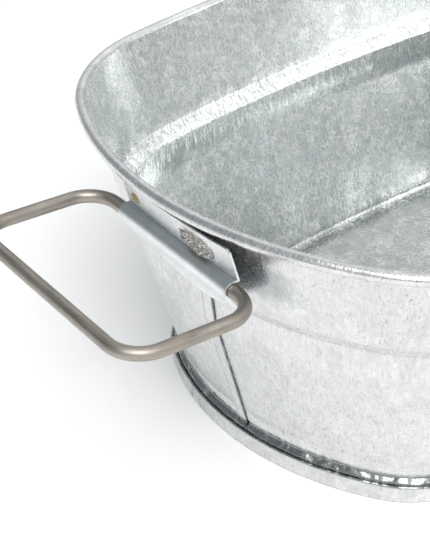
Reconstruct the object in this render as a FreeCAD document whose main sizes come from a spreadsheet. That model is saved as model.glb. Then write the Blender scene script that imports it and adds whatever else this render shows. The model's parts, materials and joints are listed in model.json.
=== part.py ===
import FreeCAD, Part
import math
import os
import Sketcher

from FreeCAD import Placement, Rotation, Vector

os.makedirs("parts", exist_ok=True)
doc = FreeCAD.newDocument("oval_tub")

# ---------------------------------------------------------------- driving sizes
# Millimetres. +Z is up, +X runs along the tub, the foot stands on Z = 0.
SIZES = {
    "length": 330.0,             # over the rim roll, end to end
    "width": 234.0,              # over the rim roll, side to side
    "height": 122.0,             # foot to top of the rim roll
    "end_radius": 150.0,         # plan radius of each end, at the rim
    "side_radius": 800.0,        # plan radius of each long side
    "corner_radius": 74.0,       # plan radius that joins an end to a side
    "flare": 0.3,                # outward lean of the wall per unit of height
    "sheet": 0.6,                # tub sheet
    "roll_radius": 2.3,          # outside of the wired rim
    "hem_drop": 2.6,             # flat tail of the rim roll on the wall
    "fit_gap": 0.05,             # clearance between folded layers
    "bead_top": 83.0,            # swaged bead: upper start
    "bead_crest": 77.5,          # swaged bead: deepest height
    "bead_base": 65.0,           # swaged bead: lower end
    "bead_depth": 2.0,
    "bead_top_bend": 2.5,        # bend radii along the bead
    "bead_crest_bend": 1.8,
    "bead_base_bend": 14.0,
    "neck_height": 9.8,          # where the wall turns out to the foot seam
    "neck_bend": 1.4,
    "seam_height": 7.0,          # top of the folded foot seam
    "seam_bend": 1.0,            # bend of the wall down into the foot seam
    "seam_fold": 2.2,            # folded wall layers inside the foot seam
    "foot_inset": 34.5,          # rim outside to foot outside
    "foot_bead": 0.6,            # radius of the bead on top of the foot seam
    "foot_bend": 0.6,            # bend radius at the pan's standing edge
    "floor_height": 5.5,         # upper face of the tub floor
    "floor_bend": 0.8,           # bend between the floor and its standing edge
    "floor_border": 6.0,         # flat border that is rolled with the standing edge
    "lock_half": 2.5,            # half width of the vertical lock seam
    "lock_reach": 0.6,           # raised lap beyond the neighbour's plain edge
    "lock_step": 1.6,            # width of the step that carries the raised lap
    "wire_radius": 2.5,          # handle wire
    "handle_span": 97.0,         # between the arm centre lines
    "handle_reach": 51.0,        # hinge axis to the outer bar's centre line
    "handle_tilt": 1.8,          # upward tilt of a handle at rest, in degrees
    "handle_bend": 12.0,         # bend radius on the wire's centre line
    "wire_end_gap": 6.0,         # between the two wire ends in the bracket
    "hinge_height": 100.4,
    "hinge_offset": 3.7,         # hinge axis to the wall face, level with it
    "hinge_side": 2.8,           # hinge middle to the lock seam's middle
    "hinge_turn": 5.5,           # skew of the hinge against the tub, in degrees
    "hinge_gap": 0.3,            # wire to bracket, all round
    "bracket_sheet": 0.8,
    "bracket_length": 64.0,
    "bracket_shift": 1.8,        # bracket's middle along the hinge
    "bracket_seat_radius": 500.0,  # plan radius of the flanges
    "bracket_clearance": 0.3,    # flange to the raised lap of the lock seam
    "bracket_top": 112.9,        # upper edge at its lower end
    "bracket_slant": 3.9,        # climb of the upper edge along the bracket
    "bracket_bottom": 82.0,
    "bracket_edge_rise": 7.0,    # how far the lower edge climbs at its ends
    "bracket_corner": 1.2,       # cut upper corners
    "apron_lean": 0.75,          # how fast the lower apron returns to the flange
    "weld_height": 109.0,
    "weld_radius": 4.2,
    "weld_side": 13.8,
    "tack_height": 109.0,
    "tack_radius": 1.9,
    "tack_side": -23.6,
    "weld_proud": 0.35,
}

sheet = doc.addObject("Spreadsheet::Sheet", "Sizes")
for row, (name, value) in enumerate(SIZES.items(), start=1):
    sheet.set(f"A{row}", name)
    sheet.set(f"B{row}", str(value))
    sheet.setAlias(f"B{row}", name)
doc.recompute()


def size(name):
    """One driving size from the spreadsheet."""
    return float(getattr(sheet, name))


def add_shape(label, shape, placement=Placement()):
    """A node of the tub whose shape was made with Part's functions."""
    node = doc.addObject("Part::Feature", label)
    node.Label = label
    node.Shape = shape
    node.Placement = placement
    return node


# ---------------------------------------------------------------- plan outline
# The rim is an oval of tangent arcs: two ends, two sides and four corners.
def half_outline():
    """Arcs from the -X end over +Y to the +X end: centre, radius, start and turn (degrees)."""
    end, side, corner = size("end_radius"), size("side_radius"), size("corner_radius")
    end_x = size("length") / 2 - end
    side_y = size("width") / 2 - side
    apart = math.hypot(end_x, side_y)
    to_end, to_side = end - corner, side - corner
    along = (to_end ** 2 - to_side ** 2 + apart ** 2) / (2 * apart)
    across = math.sqrt(to_end ** 2 - along ** 2)
    toward = Vector(-end_x, side_y, 0) / apart
    corner_at = Vector(end_x, 0, 0) + toward * along + Vector(-toward.y, toward.x, 0) * across
    if corner_at.y < 0:
        corner_at = Vector(end_x, 0, 0) + toward * along - Vector(-toward.y, toward.x, 0) * across
    end_turn = math.degrees(math.atan2(corner_at.y, corner_at.x - end_x))
    side_turn = math.degrees(math.atan2(corner_at.x, corner_at.y - side_y))
    corner_turn = 90 - end_turn - side_turn
    left = Vector(-corner_at.x, corner_at.y, 0)
    return [
        (Vector(-end_x, 0, 0), end, 180.0, -end_turn),
        (left, corner, 180 - end_turn, -corner_turn),
        (Vector(0, side_y, 0), side, 90 + side_turn, -2 * side_turn),
        (corner_at, corner, 90 - side_turn, -corner_turn),
        (Vector(end_x, 0, 0), end, end_turn, -end_turn),
    ]


def sweep_arc(face, arc):
    """Turn a profile (X = offset from the rim outline, Z = height) along one arc of the plan."""
    centre, radius, start, turn = arc
    section = face.copy()
    section.translate(Vector(radius, 0, 0))
    section.rotate(Vector(), Vector(0, 0, 1), start)
    section.translate(centre)
    return section.revolve(centre, Vector(0, 0, 1), turn)


def sweep(face, arcs):
    """Turn a profile along touching arcs and join the stretches into one solid."""
    pieces = [sweep_arc(face, arc) for arc in arcs]
    if len(pieces) == 1:
        return pieces[0]
    return pieces[0].multiFuse(pieces[1:])


def full_outline():
    """All the arcs of the rim outline."""
    half = half_outline()
    return half + [(centre * -1, radius, start + 180, turn) for centre, radius, start, turn in half]


def floor_wire(offset, height):
    """The closed outline at an offset from the rim, at one height."""
    edges = []
    for centre, radius, start, turn in full_outline():
        circle = Part.Circle(centre + Vector(0, 0, height), Vector(0, 0, 1), radius + offset)
        edges.append(circle.toShape(math.radians(start + turn), math.radians(start)))
    return Part.Wire(Part.__sortEdges__(edges))


# ---------------------------------------------------------------- sheet profiles
def mitred(path, offset):
    """Shift a path of (x, z, bend radius) sideways, its bends staying concentric."""
    points = [Vector(x, 0, z) for x, z, _ in path]
    moved = []
    for i, (x, z, bend) in enumerate(path):
        before = (points[i] - points[i - 1]).normalize() if i else None
        after = (points[i + 1] - points[i]).normalize() if i + 1 < len(path) else None
        before, after = before or after, after or before
        left = Vector(-before.z, 0, before.x)
        left_after = Vector(-after.z, 0, after.x)
        shift = (left + left_after) * (offset / (1 + left.dot(left_after)))
        turn = before.x * after.z - before.z * after.x
        new_bend = bend - math.copysign(offset, turn) if bend and turn else bend
        moved.append((x + shift.x, z + shift.z, new_bend))
    return moved


def rounded_wire(path):
    """A closed wire through (x, z, bend radius), each bend a tangent arc."""
    corners = [Vector(x, 0, z) for x, z, _ in path]
    edges = []
    ends = []
    for i, (_, _, bend) in enumerate(path):
        corner = corners[i]
        if not bend:
            ends.append((corner, corner))
            continue
        back = (corners[i - 1] - corner).normalize()
        ahead = (corners[(i + 1) % len(path)] - corner).normalize()
        half = back.getAngle(ahead) / 2
        reach = bend / math.tan(half)
        middle = corner + (back + ahead).normalize() * (bend / math.sin(half) - bend)
        first, last = corner + back * reach, corner + ahead * reach
        edges.append(Part.Arc(first, middle, last).toShape())
        ends.append((first, last))
    for i, (_, last) in enumerate(ends):
        following = ends[(i + 1) % len(ends)][0]
        if (following - last).Length > 1e-6:
            edges.append(Part.makeLine(last, following))
    return Part.Wire(Part.__sortEdges__(edges))


def section_face(wire):
    """A face in the XZ plane, always facing +Y so that faces can merge."""
    if Part.Face(wire).normalAt(0, 0).y < 0:
        wire = wire.copy()
        wire.reverse()
    return Part.Face(Part.Plane(Vector(), Vector(0, 1, 0)), wire)


def strip(path, thick, shift=0.0):
    """The section of a sheet that follows a path, its middle moved sideways by shift."""
    left = mitred(path, shift + thick / 2)
    right = mitred(path, shift - thick / 2)
    return section_face(rounded_wire(left + right[::-1]))


def disc(x, z, radius):
    """A round section."""
    circle = Part.Circle(Vector(x, 0, z), Vector(0, 1, 0), radius)
    return section_face(Part.Wire(circle.toShape()))


def block(x_low, x_high, z_low, z_high):
    """A rectangular section."""
    corners = [(x_low, z_low, 0), (x_high, z_low, 0), (x_high, z_high, 0), (x_low, z_high, 0)]
    return section_face(rounded_wire(corners))


def merged(faces):
    """Several overlapping sections as one."""
    joined = faces[0].multiFuse(faces[1:])
    whole = Part.Shell(joined.Faces).removeSplitter()
    if len(whole.Faces) != 1:
        raise RuntimeError("the sections of one sheet don't meet")
    return whole.Faces[0]


def slope_factor():
    """Level width of a leaning sheet per unit of its thickness."""
    return math.hypot(1, size("flare"))


def roll_top():
    """Height at which the wall sheet meets the rim roll."""
    reach = size("roll_radius") - size("sheet") / 2
    return size("height") - size("roll_radius") + reach * size("flare") / slope_factor()


def wall_x(height):
    """Middle of the plain wall sheet at a height, as an offset from the rim outline."""
    reach = size("roll_radius") - size("sheet") / 2
    top_x = -size("roll_radius") - reach / slope_factor()
    return top_x - size("flare") * (roll_top() - height)


def outer_face_x(height):
    """Outer face of the plain wall at a height, measured level."""
    return wall_x(height) + size("sheet") / 2 * slope_factor()


def foot_points():
    """Where the wall turns out to the foot seam, and its bend into the seam."""
    fold_x = seam_layers()[0] - size("sheet") / 2
    neck = (wall_x(size("neck_height")), size("neck_height"), size("neck_bend"))
    return neck, (fold_x, size("seam_height") + 1.5 * size("sheet"), size("seam_bend"))


def wall_path(top):
    """Middle of the wall sheet from a height down to the neck, over the swaged bead."""
    crest = size("bead_crest")
    crest_x = wall_x(crest) - size("bead_depth") * slope_factor()
    return [
        (wall_x(top), top, 0),
        (wall_x(size("bead_top")), size("bead_top"), size("bead_top_bend")),
        (crest_x, crest, size("bead_crest_bend")),
        (wall_x(size("bead_base")), size("bead_base"), size("bead_base_bend")),
        foot_points()[0],
    ]


def seam_layers():
    """Offsets of the foot seam's layers: wall fold outer and inner face, pan's inner leg."""
    outer = -size("foot_inset") - size("sheet") - size("fit_gap")
    inner = outer - size("seam_fold")
    leg = inner - size("fit_gap") - size("sheet") / 2
    return outer, inner, leg


TAIL_START = 0.95                # share of the curl's half chord that the tail leaves bare


def wall_section():
    """Wall sheet, rim roll with its flat tail, and the fold at the foot."""
    thick, roll, gap = size("sheet"), size("roll_radius"), size("fit_gap")
    fold_out, fold_in, _ = seam_layers()
    fold_low = size("foot_bend") + thick / 2 + gap
    bend = foot_points()[1]
    path = wall_path(roll_top()) + [bend, (bend[0], fold_low, 0)]
    curl = disc(-roll, size("height") - roll, roll).cut(
        disc(-roll, size("height") - roll, roll - thick)).Faces[0]
    # the tail starts inside the curl's own sheet, so that the two join without a slit
    start = TAIL_START * math.sqrt(roll ** 2 - (roll - thick) ** 2)
    tail_top = roll_top() - start / slope_factor()
    tail_bottom = size("height") - 2 * roll - size("hem_drop")
    tail_path = [(wall_x(tail_top), tail_top, 0), (wall_x(tail_bottom), tail_bottom, 0)]
    tail = strip(tail_path, thick, thick)
    fold = block(fold_in, fold_out, fold_low, size("seam_height") - thick)
    return merged([strip(path, thick), curl, tail, fold])


def pan_section(inner_end):
    """Edge of the floor pan: floor, inner leg, foot and the outer leg with its bead."""
    thick = size("sheet")
    _, _, leg = seam_layers()
    outer = -size("foot_inset") - thick / 2
    path = [
        (inner_end, size("floor_height") - thick / 2, 0),
        (leg, size("floor_height") - thick / 2, size("floor_bend")),
        (leg, thick / 2, size("foot_bend")),
        (outer, thick / 2, size("foot_bend")),
        (outer, size("seam_height"), 0),
    ]
    bead = disc(-size("foot_inset"), size("seam_height"), size("foot_bead"))
    return merged([strip(path, thick), bead])


# ---------------------------------------------------------------- wall halves
# Two equal halves hook together at the ends. Each has a plain edge that lies inside
# and, at its other end, a raised lap that covers the neighbour's plain edge.
def end_angle(distance):
    """Turn about an end's centre that moves a rim point sideways by a distance."""
    return math.degrees(distance / size("end_radius"))


def wall_half():
    """The half over +Y: lap at the -X end, plain edge at the +X end."""
    lap, gap, thick = size("lock_half"), size("fit_gap"), size("sheet")
    arcs = half_outline()
    centre, radius, start, turn = arcs[0]
    arcs[0] = (centre, radius, start - end_angle(lap + gap), turn + end_angle(lap + gap))
    last_centre, last_radius, last_start, last_turn = arcs[-1]
    arcs[-1] = (last_centre, last_radius, last_start, last_turn - end_angle(lap))
    half = sweep(wall_section(), arcs)
    top = size("height") - 2 * size("roll_radius") - size("hem_drop") - gap
    (neck_x, neck_z, _), (bend_x, bend_z, _) = foot_points()
    path = wall_path(top) + [((neck_x + bend_x) / 2, (neck_z + bend_z) / 2, 0)]
    raised = strip(path, thick, thick + gap)
    joint = strip(path, 1.5 * thick + gap, 0.75 * thick + gap / 2)
    cover = (centre, radius, 180 + end_angle(lap), -end_angle(2 * lap + size("lock_reach")))
    joined = (centre, radius, 180 - end_angle(lap + gap), -end_angle(size("lock_step")))
    return half.multiFuse([sweep_arc(raised, cover), sweep_arc(joint, joined)])


HALF_TURN = Placement(Vector(), Rotation(Vector(0, 0, 1), 180))
back_half = wall_half()
walls = [add_shape("wall_back", back_half), add_shape("wall_front", back_half, HALF_TURN)]

# ---------------------------------------------------------------- rim wire and floor pan
roll_centre = (-size("roll_radius"), size("height") - size("roll_radius"))
wire_in_roll = size("roll_radius") - size("sheet") - size("fit_gap")
add_shape("rim_wire", sweep(disc(*roll_centre, wire_in_roll), full_outline()))

pan_inner = seam_layers()[2] - size("floor_border")
pan_ring = sweep(pan_section(pan_inner), full_outline())
plate_edge = pan_inner + size("sheet")   # inside the border, so that the two fuse
floor_plate = Part.Face(floor_wire(plate_edge, size("floor_height") - size("sheet")))
floor_plate = floor_plate.extrude(Vector(0, 0, size("sheet")))
add_shape("base_pan", pan_ring.fuse(floor_plate).removeSplitter())


# ---------------------------------------------------------------- handle brackets
# Worked out in a frame at the hinge axis: X points away from the tub, Z is up.
def hinge_x():
    """Distance of a hinge axis from the tub's middle."""
    return size("length") / 2 + outer_face_x(size("hinge_height")) + size("hinge_offset")


def seat_gap():
    """Wall face to the back of a flange: the lock seam's raised lap runs between them."""
    return size("sheet") + size("fit_gap") + size("bracket_clearance")


def seat_face():
    """Back of the flanges, level with the hinge axis."""
    return -size("hinge_offset") + seat_gap() * slope_factor()


def seat_cone(distance, low, high):
    """The space inside the bracket's conical seat, moved outward by a distance."""
    radius = size("bracket_seat_radius")
    face = seat_face() + distance
    lean = size("flare")
    cone = Part.makeCone(radius + lean * low, radius + lean * high, high - low)
    cone.translate(Vector(face - radius, 0, low))
    return cone


def hat(radius, depth):
    """Section of the fold over the wire: barrel, level web above, leaning apron below."""
    lean = math.atan(size("apron_lean"))
    tangent = Vector(radius * math.cos(lean), 0, -radius * math.sin(lean))
    foot = tangent + Vector(-math.sin(lean), 0, -math.cos(lean)) * depth
    far = -depth
    points = [Vector(0, 0, radius), Vector(far, 0, radius), Vector(far, 0, foot.z), foot, tangent]
    edges = [Part.makeLine(a, b) for a, b in zip(points, points[1:])]
    crown = Vector(radius * math.cos(math.pi / 4), 0, radius * math.sin(math.pi / 4))
    edges.append(Part.Arc(tangent, crown, points[0]).toShape())
    return Part.Face(Part.Wire(edges))


def along_hinge(face, length):
    """Draw a section out along the hinge, centred."""
    solid = face.extrude(Vector(0, length, 0))
    solid.translate(Vector(0, -length / 2, 0))
    return solid


def bracket_outline(depth):
    """Front outline of the bracket: slanted top with cut corners and a bowed lower edge."""
    half = size("bracket_length") / 2
    top = size("bracket_top") - size("hinge_height")
    high = top + size("bracket_slant")
    low = size("bracket_bottom") - size("hinge_height")
    side_low = low + size("bracket_edge_rise")
    cut = size("bracket_corner")
    upper = [Vector(0, -half, side_low), Vector(0, -half, top - cut), Vector(0, -half + cut, top),
             Vector(0, half - cut, high), Vector(0, half, high - cut), Vector(0, half, side_low)]
    edges = [Part.makeLine(a, b) for a, b in zip(upper, upper[1:])]
    edges.append(Part.Arc(upper[-1], Vector(0, 0, low), upper[0]).toShape())
    face = Part.Face(Part.Wire(edges))
    face.translate(Vector(-depth, size("bracket_shift"), 0))
    return face.extrude(Vector(2 * depth, 0, 0))


def spot(side, height, radius):
    """A round weld from the wall through the upper flange, square to the flange."""
    lean = size("flare")
    z = height - size("hinge_height")
    seat = size("bracket_seat_radius")
    back_point = Vector(seat_face() + lean * z - side ** 2 / (2 * seat), side, z)
    outward = Vector(1, side / seat, -lean).normalize()
    wall = size("end_radius") + outer_face_x(height)
    skew = math.tan(math.radians(size("hinge_turn"))) - size("hinge_side") / wall
    behind = seat_gap() + side ** 2 / 2 * (1 / wall - 1 / seat) + skew * side
    sunk = behind + radius * abs(skew)
    length = sunk + size("bracket_sheet") + size("weld_proud")
    return Part.makeCylinder(radius, length, back_point - outward * sunk, outward)


WELDS = [("weld_side", "weld_height", "weld_radius"), ("tack_side", "tack_height", "tack_radius")]


def welds(grow=0.0):
    """Both welds of one bracket."""
    return [spot(size(side), size(height), size(radius) + grow) for side, height, radius in WELDS]


def bracket():
    """Folded strip: two flanges on the wall and the fold that holds the wire."""
    thick = size("bracket_sheet")
    bore = size("wire_radius") + size("hinge_gap")
    low = size("bracket_bottom") - size("hinge_height")
    high = size("bracket_top") + size("bracket_slant") - size("hinge_height")
    depth = high - low           # deeper and longer than the bracket, then trimmed to it
    length = size("bracket_length") + 2 * size("bracket_shift")
    flange = seat_cone(thick * slope_factor(), low - thick, high + thick)
    folded = flange.fuse(along_hinge(hat(bore + thick, depth), length + thick))
    folded = folded.cut(along_hinge(hat(bore, depth), length + 2 * thick))
    folded = folded.cut(seat_cone(0.0, low - depth, high + depth))
    folded = folded.common(bracket_outline(depth))
    return folded.cut(Part.makeCompound(welds(grow=size("fit_gap")))).removeSplitter()


RIGHT_HINGE = Placement(Vector(hinge_x(), -size("hinge_side"), size("hinge_height")),
                        Rotation(Vector(0, 0, 1), -size("hinge_turn")))
TILT = Placement(Vector(), Rotation(Vector(0, 1, 0), -size("handle_tilt")))
ENDS = {"left": HALF_TURN * RIGHT_HINGE, "right": RIGHT_HINGE}


def seated(weld):
    """A weld with its foot shaped to the wall that it stands on."""
    for wall in walls:
        weld = weld.cut(wall.Shape.transformed(RIGHT_HINGE.inverse().toMatrix()))
    return max(weld.Solids, key=lambda solid: solid.Volume)


bracket_shape = bracket()
weld_shape = Part.makeCompound([seated(weld) for weld in welds()])
for end, place in ENDS.items():
    add_shape(f"bracket_{end}", bracket_shape, place)
    add_shape(f"spot_welds_{end}", weld_shape, place)


# ---------------------------------------------------------------- wire handles
def plane_of(body, role):
    """One of a body's own origin planes."""
    return next(item for item in body.Origin.OriginFeatures if item.Role == role)


def bind(sketch, constraint, name, formula):
    """Add a named constraint driven by the sheet."""
    index = sketch.addConstraint(constraint)
    sketch.renameConstraint(index, name)
    sketch.setExpression(f"Constraints.{name}", formula)


def wire_spine(body):
    """Centre line of the handle wire, in the plane of the loop."""
    sketch = body.newObject("Sketcher::SketchObject", f"{body.Label}_spine")
    sketch.AttachmentSupport = (plane_of(body, "XY_Plane"), "")
    sketch.MapMode = "FlatFace"
    reach, half = size("handle_reach"), size("handle_span") / 2
    bend, start = size("handle_bend"), size("wire_end_gap") / 2
    near, far = half - bend, reach - bend
    lines = [
        ((0, start), (0, near)),
        ((bend, half), (far, half)),
        ((reach, near), (reach, -near)),
        ((far, -half), (bend, -half)),
        ((0, -near), (0, -start)),
    ]
    for first, last in lines:
        sketch.addGeometry(Part.LineSegment(Vector(*first, 0), Vector(*last, 0)))
    bends = [(bend, near, 90), (far, near, 0), (far, -near, 270), (bend, -near, 180)]
    for x, y, start_turn in bends:
        circle = Part.Circle(Vector(x, y, 0), Vector(0, 0, 1), bend)
        turn = math.radians(start_turn)
        sketch.addGeometry(Part.ArcOfCircle(circle, turn, turn + math.pi / 2))
    for i in range(4):
        sketch.addConstraint(Sketcher.Constraint("Tangent", i, 2, 5 + i, 2))
        sketch.addConstraint(Sketcher.Constraint("Tangent", 5 + i, 1, i + 1, 1))
    for line in (0, 2, 4):
        sketch.addConstraint(Sketcher.Constraint("Vertical", line))
    for line in (1, 3):
        sketch.addConstraint(Sketcher.Constraint("Horizontal", line))
    for arc in (6, 7, 8):
        sketch.addConstraint(Sketcher.Constraint("Equal", 5, arc))
    sketch.addConstraint(Sketcher.Constraint("PointOnObject", 0, 1, -2))
    sketch.addConstraint(Sketcher.Constraint("PointOnObject", 4, 2, -2))
    bind(sketch, Sketcher.Constraint("Radius", 5, bend), "bend", "Sizes.handle_bend")
    bind(sketch, Sketcher.Constraint("DistanceX", -1, 1, 2, 1, reach), "reach", "Sizes.handle_reach")
    bind(sketch, Sketcher.Constraint("DistanceY", -1, 1, 1, 1, half), "arm_over", "Sizes.handle_span / 2")
    bind(sketch, Sketcher.Constraint("DistanceY", 3, 1, -1, 1, half), "arm_under",
         "Sizes.handle_span / 2")
    bind(sketch, Sketcher.Constraint("DistanceY", -1, 1, 0, 1, start), "end_over",
         "Sizes.wire_end_gap / 2")
    bind(sketch, Sketcher.Constraint("DistanceY", 4, 2, -1, 1, start), "end_under",
         "Sizes.wire_end_gap / 2")
    return sketch


def wire_profile(body):
    """Round section of the wire, at its first end."""
    sketch = body.newObject("Sketcher::SketchObject", f"{body.Label}_round")
    sketch.AttachmentSupport = (plane_of(body, "XZ_Plane"), "")
    sketch.MapMode = "FlatFace"
    sketch.setExpression("AttachmentOffset.Base.z", "-Sizes.wire_end_gap / 2")
    sketch.addGeometry(Part.Circle(Vector(), Vector(0, 0, 1), size("wire_radius")))
    sketch.addConstraint(Sketcher.Constraint("Coincident", 0, 3, -1, 1))
    bind(sketch, Sketcher.Constraint("Radius", 0, size("wire_radius")), "wire", "Sizes.wire_radius")
    return sketch


def wire_handle(label, placement):
    """A loop of wire whose two ends meet inside the bracket."""
    body = doc.addObject("PartDesign::Body", label)
    body.Label = label
    spine = wire_spine(body)
    profile = wire_profile(body)
    doc.recompute()
    pipe = body.newObject("PartDesign::AdditivePipe", f"{label}_wire")
    pipe.Profile = profile
    pipe.Spine = (spine, [])
    body.Tip = pipe
    body.Placement = placement
    return body


for end, place in ENDS.items():
    wire_handle(f"handle_{end}", place * TILT)


# ---------------------------------------------------------------- check and write
NODES = ["wall_back", "wall_front", "rim_wire", "base_pan"]
NODES += [f"{piece}_{end}" for piece in ("bracket", "spot_welds", "handle") for end in ENDS]

doc.recompute()
for item in doc.Objects:
    if {"Invalid", "Error"} & set(item.State):
        raise RuntimeError(f"{item.Label} did not rebuild: {item.State}")
for label in NODES:
    shape = doc.getObjectsByLabel(label)[0].Shape
    if shape.isNull() or not shape.isValid():
        raise RuntimeError(f"{label} has no valid shape")
    shape.exportStep(f"parts/{label}.step")
    print(label, len(shape.Solids), round(shape.Volume, 1))
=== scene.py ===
import json
import math

import bmesh
import bpy
from mathutils import Matrix, Vector, noise


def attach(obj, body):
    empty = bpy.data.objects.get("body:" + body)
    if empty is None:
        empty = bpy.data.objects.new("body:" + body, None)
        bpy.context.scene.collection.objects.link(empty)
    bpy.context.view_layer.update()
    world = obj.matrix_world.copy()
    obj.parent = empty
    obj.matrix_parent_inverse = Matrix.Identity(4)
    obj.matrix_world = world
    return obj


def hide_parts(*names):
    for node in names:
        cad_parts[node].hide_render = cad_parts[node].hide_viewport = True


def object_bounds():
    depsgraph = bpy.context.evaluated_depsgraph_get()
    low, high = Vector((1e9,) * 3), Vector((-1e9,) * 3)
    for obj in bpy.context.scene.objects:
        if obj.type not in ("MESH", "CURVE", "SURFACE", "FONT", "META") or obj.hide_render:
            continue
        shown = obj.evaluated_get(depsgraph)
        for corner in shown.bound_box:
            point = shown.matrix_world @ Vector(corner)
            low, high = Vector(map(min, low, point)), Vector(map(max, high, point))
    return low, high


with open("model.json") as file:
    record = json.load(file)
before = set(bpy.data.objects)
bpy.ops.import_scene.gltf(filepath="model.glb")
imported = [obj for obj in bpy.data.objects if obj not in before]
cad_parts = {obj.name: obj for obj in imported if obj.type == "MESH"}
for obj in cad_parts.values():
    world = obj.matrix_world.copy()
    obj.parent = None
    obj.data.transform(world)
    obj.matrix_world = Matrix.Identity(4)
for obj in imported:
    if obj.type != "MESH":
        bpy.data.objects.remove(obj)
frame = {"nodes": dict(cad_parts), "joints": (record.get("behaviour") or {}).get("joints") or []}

cad_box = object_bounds()
MM = 0.001

# Dark lines on the two edges of an upright seam: the side of its middle and the width, both as
# slopes seen from the centre of the tub's round end, and the line's strength.
SEAM_CENTRE = 15 * MM         # that centre, from the tub's middle
LAP_LINES = ((-0.021, 0.004, 0.5), (0.0165, 0.0045, 1.0))

# Spans in height over the foot: where each starts, is full, is last full and ends.
BEAD_SPAN = (68 * MM, 74 * MM, 81 * MM, 87 * MM)
SEAM_SPAN = (8 * MM, 9 * MM, 113.5 * MM, 114.5 * MM)
# The crease span is where painted shade darkens the crease over the foot.
CREASE_SHADE_SPAN = (6.4 * MM, 7.6 * MM, 9.5 * MM, 12.5 * MM)
CRIMP_FADE = (17 * MM, 9 * MM)  # the foot's crumples: none above the first, full below the second

CRYSTAL = 5 * MM              # size of a large zinc crystal
SHEET_RELIEF = 0.12 * MM      # bump distances
WIRE_RELIEF = 0.06 * MM
WELD_RELIEF = 0.35 * MM


# ---------------------------------------------------------------- node helpers
class Graph:
    """A material's node tree with short calls for the nodes used below."""

    def __init__(self, name):
        self.material = bpy.data.materials.new(name)
        self.material.use_nodes = True
        self.tree = self.material.node_tree
        self.tree.nodes.clear()
        output = self.tree.nodes.new("ShaderNodeOutputMaterial")
        self.shader = self.tree.nodes.new("ShaderNodeBsdfPrincipled")
        self.tree.links.new(self.shader.outputs["BSDF"], output.inputs["Surface"])

    def plug(self, target, value):
        """Set a socket from a number, a tuple or another socket."""
        if isinstance(value, bpy.types.NodeSocket):
            self.tree.links.new(value, target)
        else:
            target.default_value = value

    def add(self, kind, inputs, output=0, **settings):
        """A new node with its inputs set; returns one of its outputs."""
        made = self.tree.nodes.new(kind)
        for name, value in settings.items():
            setattr(made, name, value)
        for name, value in inputs.items():
            self.plug(made.inputs[name], value)
        return made.outputs[output]

    def place(self):
        """Position in the row frame."""
        return self.add("ShaderNodeTexCoord", {}, "Object")

    def scaled(self, vector, factors):
        """A vector multiplied by three numbers."""
        return self.add("ShaderNodeVectorMath", {0: vector, 1: factors}, operation="MULTIPLY")

    def noise(self, vector, scale, detail=2.0, rough=0.5, output="Fac"):
        """Noise at so many features per metre."""
        return self.add("ShaderNodeTexNoise", {"Vector": vector, "Scale": scale, "Detail": detail,
                                               "Roughness": rough}, output)

    def cells(self, vector, scale, output="Color"):
        """Voronoi cells at so many per metre."""
        return self.add("ShaderNodeTexVoronoi", {"Vector": vector, "Scale": scale}, output)

    def math(self, operation, a, b=0.0, c=0.0):
        """A math node."""
        return self.add("ShaderNodeMath", {0: a, 1: b, 2: c}, operation=operation)

    def product(self, first, *others):
        """Several values multiplied."""
        for other in others:
            first = self.math("MULTIPLY", first, other)
        return first

    def weighted(self, *terms):
        """Sum of (value, weight) terms."""
        total = 0.0
        for value, weight in terms:
            total = self.math("MULTIPLY_ADD", value, weight, total)
        return total

    def plateau(self, value, start, full, last, end):
        """1 from full to last, falling to 0 at start and at end."""
        return self.product(self.band(value, start, full), self.band(value, end, last))

    def band(self, value, low, high, to_low=0.0, to_high=1.0, smooth=True):
        """Map a range of a value to another, clamped."""
        kind = "SMOOTHSTEP" if smooth else "LINEAR"
        return self.add("ShaderNodeMapRange", {"Value": value, "From Min": low, "From Max": high,
                                               "To Min": to_low, "To Max": to_high},
                        interpolation_type=kind)

    def mix(self, factor, a, b):
        """Blend two colours."""
        made = self.tree.nodes.new("ShaderNodeMix")
        made.data_type = "RGBA"
        self.plug(made.inputs[0], factor)
        self.plug(made.inputs[6], a)
        self.plug(made.inputs[7], b)
        return made.outputs[2]

    def split(self, vector):
        """The three parts of a vector or colour."""
        made = self.tree.nodes.new("ShaderNodeSeparateXYZ")
        self.plug(made.inputs[0], vector)
        return made.outputs

    def bump(self, height, distance):
        """Fine relief on the shader's normal."""
        normal = self.add("ShaderNodeBump", {"Height": height, "Distance": distance,
                                             "Strength": 1.0})
        self.plug(self.shader.inputs["Normal"], normal)


def spangle(graph, place, size):
    """Zinc crystals about size metres across: a shade per crystal and its feathered grain."""
    wander = graph.noise(place, 90.0, 3.0, 0.6, "Color")
    wander = graph.add("ShaderNodeVectorMath", {0: wander, 1: (0.5, 0.5, 0.5)}, operation="SUBTRACT")
    bent = graph.add("ShaderNodeVectorMath", {0: wander, 1: (size, size, size), 2: place},
                     operation="MULTIPLY_ADD")
    shade, turn, _ = graph.split(graph.cells(bent, 1.0 / size))
    angle = graph.math("MULTIPLY", turn, math.tau)
    turned = graph.add("ShaderNodeVectorRotate", {"Vector": place, "Axis": (0.6, 0.5, 0.62),
                                                  "Angle": angle}, rotation_type="AXIS_ANGLE")
    grain = graph.noise(graph.scaled(turned, (1.0, 0.2, 1.0)), 5.5 / size, 2.0, 0.55)
    return shade, grain


def faces_inward(graph, place):
    """1 on surfaces that look towards the tub's middle, 0 on the outside, half on level ones."""
    normal = graph.add("ShaderNodeNewGeometry", {}, "Normal")
    flat = graph.scaled(place, (1.0, 2.0, 0.0))
    outward = graph.add("ShaderNodeVectorMath", {0: normal, 1: flat}, "Value",
                        operation="DOT_PRODUCT")
    blur = 4 * MM
    return graph.band(outward, blur, -blur)


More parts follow.
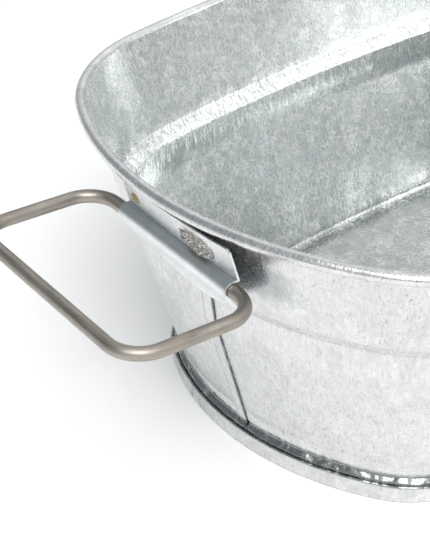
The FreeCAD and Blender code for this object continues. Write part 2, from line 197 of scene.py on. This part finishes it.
def crystals(graph, place, size, inward):
    """Large and small zinc crystals: their shades, their grains and their white flecks."""
    shade, grain = spangle(graph, place, size)
    fine, grain_fine = spangle(graph, place, size * 0.5)
    flecks = graph.product(graph.band(shade, 0.68, 0.74), graph.band(grain, 0.48, 0.55))
    chips = graph.product(graph.band(fine, 0.70, 0.75), graph.band(grain_fine, 0.47, 0.54))
    flecks = graph.math("MULTIPLY_ADD", chips, 0.8, flecks)
    flecks = graph.product(flecks, graph.band(inward, 0.0, 1.0, 0.12, 1.0))
    return shade, grain, fine, grain_fine, flecks


def upright_noise(graph, place, squeeze, scale, detail=2.0, rough=0.5):
    """Noise drawn out upwards: squeeze is how little it changes with height."""
    return graph.noise(graph.scaled(place, (1.0, 1.0, squeeze)), scale, detail, rough)


def seam_line(graph, place, side, width):
    """Dark line along one edge of the upright seams, at one side of the seam's middle."""
    x, y, _ = graph.split(place)
    run = graph.math("SUBTRACT", x, graph.math("MULTIPLY", graph.math("SIGN", x), SEAM_CENTRE))
    turn = graph.math("DIVIDE", y, run)
    off = graph.math("ABSOLUTE", graph.math("SUBTRACT", turn, side))
    return graph.band(off, width, width * 0.3)


def seam_dirt_and_crease_shade(graph, place, height, inward):
    """Dirt along the upright seams and painted shade in the crease over the foot, both worn in places.
    """
    lines = [(seam_line(graph, place, side, width), strength)
             for side, width, strength in LAP_LINES]
    seam = graph.weighted(*lines)
    seam = graph.product(seam, graph.plateau(height, *SEAM_SPAN))
    worn = graph.band(graph.noise(place, 130.0, 3.0, 0.6), 0.12, 0.5)
    # The seam lines are real; the band over the foot adds painted shade in the crease.
    dirt_and_crease_shade = graph.product(graph.math("ADD", seam, graph.plateau(height, *CREASE_SHADE_SPAN)), worn)
    return graph.product(dirt_and_crease_shade, graph.band(inward, 0.0, 1.0, 0.75, 0.35))


def stain_and_shade_spot(graph, place, centre, inner, outer):
    """1 near a point and near its half-turned twin, with a ragged edge, falling to 0."""
    ragged = graph.math("MULTIPLY_ADD", graph.noise(place, 260.0, 3.0, 0.65), 1.1, 0.45)
    twins = (centre, (-centre[0], -centre[1], centre[2]))
    apart = [graph.add("ShaderNodeVectorMath", {0: place, 1: twin}, "Value", operation="DISTANCE")
             for twin in twins]
    return graph.band(graph.product(graph.math("MINIMUM", *apart), ragged), outer, inner)


def crumple(graph, place, height, inward):
    """Waves pressed into the foot: full outside, weaker inside, none on the level floor."""
    waves = upright_noise(graph, place, 0.5, 95.0, 2.0, 0.6)
    share = graph.math("MULTIPLY_ADD", graph.band(inward, 0.8, 1.0), 0.3,
                       graph.band(inward, 0.3, 0.0))
    return graph.product(waves, graph.band(height, *CRIMP_FADE), share)


def galvanised(name, inner, outer, streak=1.0, rough=(0.20, 0.34), stains_and_shade=(), with_dirt_and_crease_shade=True,
               top_dark_reflection=0.0):
    """Zinc-coated sheet: feathered crystals, upright brush streaks and soft mottling.

    inner and outer are the (dull, bright) colours of the two sides; each spot is a centre,
    its inner and outer radius, a colour and a strength: on the brackets a weld's heat tint, on
    the wall painted shade beside each bracket's end; the flag after the spots adds dark seam
    lines and painted shade in the crease over the foot; and the last argument darkens the faces
    that look up with painted dark reflection."""
    graph = Graph(name)
    place = graph.place()
    height = graph.split(place)[2]
    inward = faces_inward(graph, place)
    shade, grain, fine, grain_fine, flecks = crystals(graph, place, CRYSTAL, inward)
    streaks = upright_noise(graph, place, 0.13, 1000.0, 2.0, 0.6)
    combed = upright_noise(graph, place, 0.07, 420.0, 2.0, 0.6)
    ticks = graph.band(upright_noise(graph, place, 0.22, 1300.0, 1.0), 0.62, 0.70)
    ticks = graph.product(ticks, graph.band(upright_noise(graph, place, 0.4, 32.0), 0.38, 0.60))
    patches = graph.noise(place, 22.0, 3.0, 0.6)
    tone = graph.weighted((fine, 0.08), (shade, 0.10), (grain, 0.16), (grain_fine, 0.16),
                          (flecks, 0.42), (patches, 0.55), (streaks, 0.6 * streak),
                          (combed, 0.3 * streak), (ticks, -0.42 * streak))
    tone = graph.band(tone, 0.40, 0.80 + 0.78 * streak, smooth=False)
    inside = graph.mix(tone, (*inner[0], 1), (*inner[1], 1))
    outside = graph.mix(tone, (*outer[0], 1), (*outer[1], 1))
    colour = graph.mix(inward, outside, inside)
    # Dark lines along the seams, and painted shade in the crease over the foot.
    if with_dirt_and_crease_shade:
        colour = graph.mix(seam_dirt_and_crease_shade(graph, place, height, inward), colour, (*DIRT_AND_CREASE_SHADE, 1))
    # Painted dark reflection on the faces that look up.
    if top_dark_reflection:
        normal = graph.add("ShaderNodeNewGeometry", {}, "Normal")
        level = graph.band(graph.split(normal)[2], 0.25, 0.75)
        colour = graph.mix(graph.product(level, top_dark_reflection), colour, (*SHADED, 1))
    # Heat tints round the welds, and painted shade on the wall beside each bracket's end.
    for centre, near, far, tint, strength in stains_and_shade:
        mark = graph.product(stain_and_shade_spot(graph, place, centre, near, far), strength,
                             graph.band(inward, 1.0, 0.4))
        colour = graph.mix(mark, colour, (*tint, 1))
    graph.plug(graph.shader.inputs["Base Color"], colour)
    graph.shader.inputs["Metallic"].default_value = 1.0
    gloss = graph.weighted((streaks, 0.5), (grain, 0.5))
    graph.plug(graph.shader.inputs["Roughness"], graph.band(gloss, 0.3, 0.7, *rough, smooth=False))
    bead = graph.product(graph.plateau(height, *BEAD_SPAN), graph.band(inward, 0.0, 1.0, 0.25, 1.0))
    sag = upright_noise(graph, place, 0.4, 30.0, 1.0)
    relief = graph.weighted((grain, 0.4), (streaks, 0.8 * streak),
                            (graph.product(combed, bead), 5.0), (grain_fine, 0.3), (sag, 12.0),
                            (crumple(graph, place, height, inward), 26.0))
    graph.bump(relief, SHEET_RELIEF)
    return graph.material


def drawn_wire(name):
    """Bare steel wire: warm oxide clouds, dark specks and, on a mesh with UVs, lines along U."""
    graph = Graph(name)
    along = graph.add("ShaderNodeTexCoord", {}, "UV")
    place = graph.place()
    lines = graph.noise(graph.scaled(along, (40.0, 700.0, 1.0)), 1.0, 3.0, 0.65)
    clouds = graph.noise(place, 150.0, 4.0, 0.6)
    specks = graph.band(graph.noise(place, 1900.0, 2.0), 0.62, 0.72)
    tone = graph.weighted((clouds, 0.6), (lines, 0.8))
    tone = graph.band(tone, 0.45, 0.95, smooth=False)
    warm = graph.mix(graph.band(clouds, 0.42, 0.62), (0.25, 0.225, 0.195, 1), (0.19, 0.155, 0.115, 1))
    colour = graph.mix(tone, warm, (0.46, 0.43, 0.39, 1))
    colour = graph.mix(graph.product(specks, 0.4), colour, (0.08, 0.065, 0.05, 1))
    graph.plug(graph.shader.inputs["Base Color"], colour)
    graph.shader.inputs["Metallic"].default_value = 1.0
    graph.plug(graph.shader.inputs["Roughness"], graph.band(lines, 0.3, 0.7, 0.36, 0.5))
    graph.bump(graph.math("MULTIPLY_ADD", specks, -0.4, lines), WIRE_RELIEF)
    return graph.material


def burnt_weld(name, dark, light):
    """Pitted weld metal with soot and a few bright raised grains."""
    graph = Graph(name)
    place = graph.place()
    grit = graph.noise(place, 1500.0, 4.0, 0.7)
    pits = graph.cells(place, 1700.0, "Distance")
    colour = graph.mix(graph.band(grit, 0.38, 0.66), (*dark, 1), (*light, 1))
    graph.plug(graph.shader.inputs["Base Color"], colour)
    graph.shader.inputs["Metallic"].default_value = 0.8
    graph.plug(graph.shader.inputs["Roughness"], graph.band(grit, 0.3, 0.7, 0.75, 0.45))
    graph.bump(graph.math("ADD", grit, pits), WELD_RELIEF)
    return graph.material


def pale_floor(name):
    """Matte studio board with a faint grain."""
    graph = Graph(name)
    mottle = graph.noise(graph.place(), 40.0, 4.0)
    colour = graph.mix(mottle, (0.945, 0.945, 0.94, 1), (0.97, 0.97, 0.97, 1))
    graph.plug(graph.shader.inputs["Base Color"], colour)
    graph.shader.inputs["Roughness"].default_value = 0.9
    return graph.material


# ---------------------------------------------------------------- hinges
def hinge_frame(joint):
    """Matrix of a hinge: X away from the tub, Y along the axis, Z up."""
    axis = Vector(joint["axis"])
    out = Vector((0, 0, 1)).cross(axis)
    turn = Matrix((out, Vector((0, 0, 1)).cross(out), Vector((0, 0, 1)))).transposed().to_4x4()
    return Matrix.Translation(joint["pos_m"]) @ turn


HINGES = {joint["child"]: hinge_frame(joint) for joint in frame["joints"]}


def beside_hinge(out, along, up):
    """A point given in millimetres in the left hinge's frame."""
    return tuple(HINGES["handle_left"] @ Vector((out * MM, along * MM, up * MM)))


# ---------------------------------------------------------------- carried-over CAD nodes
WELDS_UP = 8.8                # height of the welds over the hinge, in millimetres

# Dull and bright zinc: inside the walls, outside, on the floor and on the brackets.
INSIDE = ((0.50, 0.54, 0.535), (0.985, 0.99, 0.985))
OUTSIDE = ((0.45, 0.452, 0.452), (0.95, 0.95, 0.95))
DULL = ((0.24, 0.275, 0.265), (0.52, 0.56, 0.54))
CLEAN = ((0.62, 0.64, 0.65), (0.985, 0.985, 0.985))
# Colour of the dark seam lines and of the painted shade in the crease over the foot.
DIRT_AND_CREASE_SHADE = (0.13, 0.15, 0.15)
SHADED = (0.27, 0.315, 0.345)  # painted dark reflection on the faces of the brackets that look up

# Marks by the left bracket, each with a twin by the right one: painted shade on the wall
# beside the bracket's end, and heat tints at its two welds.
BRACKET_END_SHADE = (beside_hinge(-6, 40, -2), 5 * MM, 15 * MM, (0.22, 0.24, 0.25), 0.6)
HEAT = (beside_hinge(0, 13, WELDS_UP), 5.0 * MM, 8.5 * MM, (0.50, 0.45, 0.39), 0.5)
TINT = (beside_hinge(0, -23.6, WELDS_UP), 2.0 * MM, 3.8 * MM, (0.52, 0.44, 0.31), 0.45)
# The wall's one spot is painted shade beside each bracket's end.
WALL = galvanised("galvanised_wall_zinc", INSIDE, OUTSIDE, stains_and_shade=(BRACKET_END_SHADE,))
PAN = galvanised("galvanised_base_zinc", DULL, OUTSIDE, streak=0.5)
# The brackets get painted dark reflection on the faces that look up.
BRACKET = galvanised("bracket_zinc", CLEAN, CLEAN, streak=0.5, rough=(0.38, 0.54),
                     stains_and_shade=(HEAT, TINT), with_dirt_and_crease_shade=False, top_dark_reflection=0.65)
WIRE = drawn_wire("drawn_handle_wire")
CORE = drawn_wire("core_wire_steel")
WELD = burnt_weld("burnt_weld", (0.13, 0.12, 0.11), (0.86, 0.84, 0.81))
TACK = burnt_weld("brassy_tack", (0.30, 0.21, 0.10), (0.62, 0.50, 0.32))

FINISHES = {"wall_front": WALL, "wall_back": WALL, "base_pan": PAN, "rim_wire": CORE,
            "bracket_left": BRACKET, "bracket_right": BRACKET,
            "spot_welds_left": WELD, "spot_welds_right": WELD}
for node_name, finish in FINISHES.items():
    cad = frame["nodes"][node_name]
    cad.data.materials.clear()
    cad.data.materials.append(finish)


# ---------------------------------------------------------------- wire handles
BEND = 12.0 * MM              # bend radius on the wire's centre line
BEND_STEPS = 12
END_GAP = 6.0 * MM            # between the wire's two ends
END_SHARE = 0.82              # the ends' radius as a share of the wire's, for a soft edge
UNEVEN = 0.012                # how much the radius wanders, as a share
WIRE_STEP = 1.6 * MM          # longest piece of the wire's mesh
RAISED = 1.8                  # degrees that the loops stand up at rest


def local_box(node_name, inverse):
    """Lowest and highest corner of a CAD node seen in another frame."""
    points = [inverse @ v.co for v in frame["nodes"][node_name].data.vertices]
    return (Vector(map(min, *points)), Vector(map(max, *points)))


def loop_line(low, high):
    """Centre line of a handle from its box in its own frame: X away from the tub."""
    wire = (high.z - low.z) / 2
    reach = high.x - low.x - 2 * wire
    half = high.y - wire
    points = [Vector((0, END_GAP / 2, 0))]
    for centre_x, centre_y, start in ((BEND, half - BEND, 180), (reach - BEND, half - BEND, 90)):
        for step in range(BEND_STEPS + 1):
            turn = math.radians(start - 90 * step / BEND_STEPS)
            points.append(Vector((centre_x + BEND * math.cos(turn),
                                  centre_y + BEND * math.sin(turn), 0)))
    points += [Vector((p.x, -p.y, 0)) for p in reversed(points)]
    return points, wire


def divided(points, step):
    """The same line with no piece longer than step."""
    fine = [points[0]]
    for a, b in zip(points, points[1:]):
        parts = max(1, math.ceil((b - a).length / step))
        fine += [a.lerp(b, (i + 1) / parts) for i in range(parts)]
    return fine


def wire_mesh(name, points, radius, sides=28):
    """A round wire along a flat line, with its length in U, and very slightly uneven."""
    mesh = bmesh.new()
    uv = mesh.loops.layers.uv.new("along")
    rings, travelled = [], [0.0]
    for i, point in enumerate(points):
        before, after = points[max(i - 1, 0)], points[min(i + 1, len(points) - 1)]
        ahead = (after - before).normalized()
        side = Vector((-ahead.y, ahead.x, 0))
        if i:
            travelled.append(travelled[-1] + (point - points[i - 1]).length)
        edge = radius * (END_SHARE if i in (0, len(points) - 1) else 1.0)
        ring = []
        for k in range(sides):
            turn = math.tau * k / sides
            out = side * math.cos(turn) + Vector((0, 0, math.sin(turn)))
            uneven = 1 - UNEVEN * noise.noise((point + out * radius) * 90)
            ring.append(mesh.verts.new(point + out * edge * min(uneven, 1.0)))
        rings.append(ring)
    for i, (first, second) in enumerate(zip(rings, rings[1:])):
        for k in range(sides):
            nxt = (k + 1) % sides
            face = mesh.faces.new((first[k], first[nxt], second[nxt], second[k]))
            across = [k / sides, (k + 1) / sides, (k + 1) / sides, k / sides]
            length = [travelled[i], travelled[i], travelled[i + 1], travelled[i + 1]]
            for loop, u, v in zip(face.loops, length, across):
                loop[uv].uv = (u, v * math.tau * radius)
            face.smooth = True
    mesh.faces.new(rings[0][::-1])
    mesh.faces.new(rings[-1])
    bmesh.ops.recalc_face_normals(mesh, faces=mesh.faces)
    data = bpy.data.meshes.new(name)
    mesh.to_mesh(data)
    mesh.free()
    return data


def add_piece(name, data, material, body, stands_for):
    """Put a detailed piece in the scene and on its body, in place of CAD nodes."""
    piece = bpy.data.objects.new(name, data)
    bpy.context.scene.collection.objects.link(piece)
    data.materials.append(material)
    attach(piece, body)
    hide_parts(*stands_for)


TILT = Matrix.Rotation(math.radians(-RAISED), 4, "Y")
for node_name, hinge in HINGES.items():
    own_frame = hinge @ TILT
    line, wire_radius = loop_line(*local_box(node_name, own_frame.inverted()))
    data = wire_mesh(f"{node_name}_wire", divided(line, WIRE_STEP), wire_radius)
    data.transform(own_frame)
    add_piece(f"{node_name}_wire", data, WIRE, node_name, (node_name,))


# ---------------------------------------------------------------- welds
FLANGE_LEAN = 0.3             # outward lean of the wall and of the bracket's flanges, as a slope
CAP_DEPTH = 0.3 * MM          # how far behind a CAD weld's front its proud end reaches
SEAT_DEPTH = 0.2 * MM         # how far the crust starts behind the middle of that end
SPREAD = 1.08                 # radius of the crust as a share of the CAD weld's
ROOT_DEPTH = 0.5 * MM         # how far a crust reaches in behind its middle
SKIRT_DEPTH = 0.45 * MM       # and behind its edge
PIT_DEPTH = 0.1 * MM          # deepest pit under the crust's level
CREST_AT = 0.72               # the crust's raised rim, as a share of the way out, and its width
CREST_WIDTH = 0.16


def weld_seats(node_name, hinge):
    """Middle of each weld's proud end, its direction and radius, in the row frame."""
    inverse = hinge.inverted()
    points = [inverse @ v.co for v in frame["nodes"][node_name].data.vertices]
    outward = Vector((1, 0, -FLANGE_LEAN)).normalized()
    seats = []
    for near in (True, False):
        own = [p for p in points if (p.y > 0) == near]
        top = max(p.dot(outward) for p in own)
        cap = [p for p in own if p.dot(outward) > top - CAP_DEPTH]
        low, high = Vector(map(min, *cap)), Vector(map(max, *cap))
        seats.append(((low + high) / 2, (high.y - low.y) / 2))
    return [(hinge @ middle, (hinge.to_3x3() @ outward), radius) for middle, radius in seats]


def puddle(mesh, middle, outward, radius, crust, seed, stretch, rings=14, sides=56):
    """An uneven closed disc of weld metal: a ragged edge, a raised rim and a pitted middle."""
    across = outward.cross(Vector((0, 0, 1))).normalized()
    upward = across.cross(outward)
    sunk = mesh.verts.new(middle - outward * ROOT_DEPTH)
    crown = mesh.verts.new(middle + outward * crust * 0.5)
    rows = []
    for ring in range(1, rings + 1):
        share = ring / rings
        row = []
        for k in range(sides):
            turn = math.tau * k / sides
            spoke = across * math.cos(turn) * stretch + upward * math.sin(turn)
            ragged = 1 + 0.2 * noise.fractal(spoke * 1.7 + Vector((seed, 0, 0)), 0.6, 2.2, 4)
            place = spoke * radius * share * ragged
            grit = noise.fractal(place * 900 + Vector((0, seed, 0)), 0.7, 2.1, 4)
            rim = math.exp(-((share - CREST_AT) / CREST_WIDTH) ** 2)
            height = crust * (0.35 + 0.5 * rim + 0.45 * grit) * min(1, (1 - share) * 7)
            row.append(mesh.verts.new(middle + place + outward * max(height, -PIT_DEPTH)))
        rows.append(row)
    base = [mesh.verts.new(v.co - outward * SKIRT_DEPTH) for v in rows[-1]]
    for k in range(sides):
        nxt = (k + 1) % sides
        mesh.faces.new((crown, rows[0][k], rows[0][nxt]))
        mesh.faces.new((sunk, base[nxt], base[k]))
        mesh.faces.new((rows[-1][k], base[k], base[nxt], rows[-1][nxt]))
        for first, second in zip(rows, rows[1:]):
            mesh.faces.new((first[k], second[k], second[nxt], first[nxt]))


def spatter(mesh, middle, outward, radius, seed, count):
    """Small beads thrown round a weld."""
    across = outward.cross(Vector((0, 0, 1))).normalized()
    upward = across.cross(outward)
    for i in range(count):
        turn = 2.4 * i + seed
        reach = radius * (1.22 + 0.4 * abs(noise.noise(Vector((i * 3.1, seed, 0)))))
        at = middle + (across * math.cos(turn) + upward * math.sin(turn)) * reach
        grain = (0.14 + 0.12 * abs(noise.noise(Vector((seed, i * 1.7, 4))))) * MM
        bmesh.ops.create_icosphere(mesh, subdivisions=2, radius=grain,
                                   matrix=Matrix.Translation(at - outward * 0.3 * MM))


def weld_mesh(name, seat, crust, seed, stretch, beads):
    """One weld as a mesh, with so many beads round it."""
    middle, outward, radius = seat
    mesh = bmesh.new()
    puddle(mesh, middle - outward * SEAT_DEPTH, outward, radius * SPREAD, crust, seed, stretch)
    spatter(mesh, middle, outward, radius, seed, beads)
    bmesh.ops.recalc_face_normals(mesh, faces=mesh.faces)
    for face in mesh.faces:
        face.smooth = True
    data = bpy.data.meshes.new(name)
    mesh.to_mesh(data)
    mesh.free()
    return data


# A bracket's two welds: name, material, height of the crust, seed, width over height, beads.
WELD_KINDS = (("burnt", WELD, 1.1 * MM, 3.0, 2.1, 9), ("tack", TACK, 0.45 * MM, 8.0, 1.1, 0))
for end in ("left", "right"):
    node_name = f"spot_welds_{end}"
    seats = weld_seats(node_name, HINGES[f"handle_{end}"])
    for seat, (kind, metal, crust, seed, stretch, beads) in zip(seats, WELD_KINDS):
        data = weld_mesh(f"{node_name}_{kind}", seat, crust, seed, stretch, beads)
        add_piece(f"{node_name}_{kind}", data, metal, "tub", (node_name,))


# ---------------------------------------------------------------- floor, light and camera
BOARD_SIZE = 6.0
BOARD_GAP = 0.2 * MM          # between the board and the foot

# Colours of the surroundings, and how they are laid out.
OVERHEAD = (0.98, 0.985, 0.99)
LEVEL = (0.40, 0.415, 0.42)
DARK = (0.30, 0.325, 0.34)
DARK_SIDE = (-0.53, 0.64, 0.55)   # direction of the dark side
LEVEL_TO_OVERHEAD = (0.05, 0.85)  # rise of the direction where the first colour ends, the second begins
DARK_FADE = (0.55, 0.90)          # closeness to the dark side where it begins and where it is full
SKY_STRENGTH = 1.12

# Lamps: name, place, point that they face, size in metres, power in watts.
SOFTBOXES = (("key", (-0.9, -1.0, 1.7), (0, 0, 0.05), 1.2, 30),
             ("front", (0.85, -1.25, 0.75), (0, 0, 0.08), 0.7, 2.6))

CAMERA_PLACE = (-0.46746, -0.37093, 0.40808)
CAMERA_ANGLES = (-41.19, 33.17, -0.42)   # degrees round the tub, above it and of roll
SENSOR_WIDTH = 36.0                      # in millimetres, as the lens is
FOCAL_LENGTH = 111.5
CLIP_START = 0.01


def add_floor():
    """A wide pale board under the foot."""
    bpy.ops.mesh.primitive_plane_add(size=BOARD_SIZE, location=(0, 0, cad_box[0].z - BOARD_GAP))
    board = bpy.context.object
    board.name = "studio_floor"
    board.data.materials.append(pale_floor("studio_board"))


def add_softbox(name, place, aim, size, power):
    """A large square light that faces a point."""
    lamp = bpy.data.lights.new(name, "AREA")
    lamp.shape = "SQUARE"
    lamp.size = size
    lamp.energy = power
    holder = bpy.data.objects.new(name, lamp)
    bpy.context.scene.collection.objects.link(holder)
    holder.location = place
    holder.rotation_mode = "QUATERNION"
    holder.rotation_quaternion = (Vector(aim) - Vector(place)).to_track_quat("-Z", "Y")


def add_sky():
    """Surroundings that are bright overhead, greyer level with the tub and dark on one side."""
    world = bpy.data.worlds.new("studio")
    bpy.context.scene.world = world
    world.use_nodes = True
    tree = world.node_tree
    tree.nodes.clear()
    output = tree.nodes.new("ShaderNodeOutputWorld")
    light = tree.nodes.new("ShaderNodeBackground")
    ramp = tree.nodes.new("ShaderNodeValToRGB")
    parts = tree.nodes.new("ShaderNodeSeparateXYZ")
    direction = tree.nodes.new("ShaderNodeTexCoord")
    tree.links.new(direction.outputs["Generated"], parts.inputs[0])
    tree.links.new(parts.outputs["Z"], ramp.inputs["Fac"])
    stops = zip(ramp.color_ramp.elements, LEVEL_TO_OVERHEAD, (LEVEL, OVERHEAD))
    for stop, position, colour in stops:
        stop.position = position
        stop.color = (*colour, 1)
    light.inputs["Strength"].default_value = SKY_STRENGTH
    toward = tree.nodes.new("ShaderNodeVectorMath")
    toward.operation = "DOT_PRODUCT"
    toward.inputs[1].default_value = DARK_SIDE
    tree.links.new(direction.outputs["Generated"], toward.inputs[0])
    share = tree.nodes.new("ShaderNodeMapRange")
    share.interpolation_type = "SMOOTHSTEP"
    share.inputs["From Min"].default_value, share.inputs["From Max"].default_value = DARK_FADE
    tree.links.new(toward.outputs["Value"], share.inputs["Value"])
    shaded = tree.nodes.new("ShaderNodeMix")
    shaded.data_type = "RGBA"
    tree.links.new(share.outputs[0], shaded.inputs[0])
    tree.links.new(ramp.outputs["Color"], shaded.inputs[6])
    shaded.inputs[7].default_value = (*DARK, 1)
    tree.links.new(shaded.outputs[2], light.inputs["Color"])
    tree.links.new(light.outputs["Background"], output.inputs["Surface"])


def add_camera():
    """The camera at the photograph's viewing angle: about 41 degrees round, 33 degrees above."""
    round_turn, above, roll = map(math.radians, CAMERA_ANGLES)
    back = Vector((math.sin(round_turn) * math.cos(above), -math.cos(round_turn) * math.cos(above),
                   math.sin(above)))
    right = Vector((math.cos(round_turn), math.sin(round_turn), 0))
    up = back.cross(right)
    x_axis = right * math.cos(roll) + up * math.sin(roll)
    y_axis = up * math.cos(roll) - right * math.sin(roll)
    lens = bpy.data.cameras.new("camera")
    lens.sensor_width = SENSOR_WIDTH
    lens.lens = FOCAL_LENGTH
    lens.clip_start = CLIP_START
    camera = bpy.data.objects.new("camera", lens)
    bpy.context.scene.collection.objects.link(camera)
    turn = Matrix((x_axis, y_axis, back)).transposed().to_4x4()
    camera.matrix_world = Matrix.Translation(CAMERA_PLACE) @ turn
    bpy.context.scene.camera = camera


add_floor()
add_sky()
for softbox in SOFTBOXES:
    add_softbox(*softbox)
add_camera()
bpy.context.scene.view_settings.view_transform = "Standard"
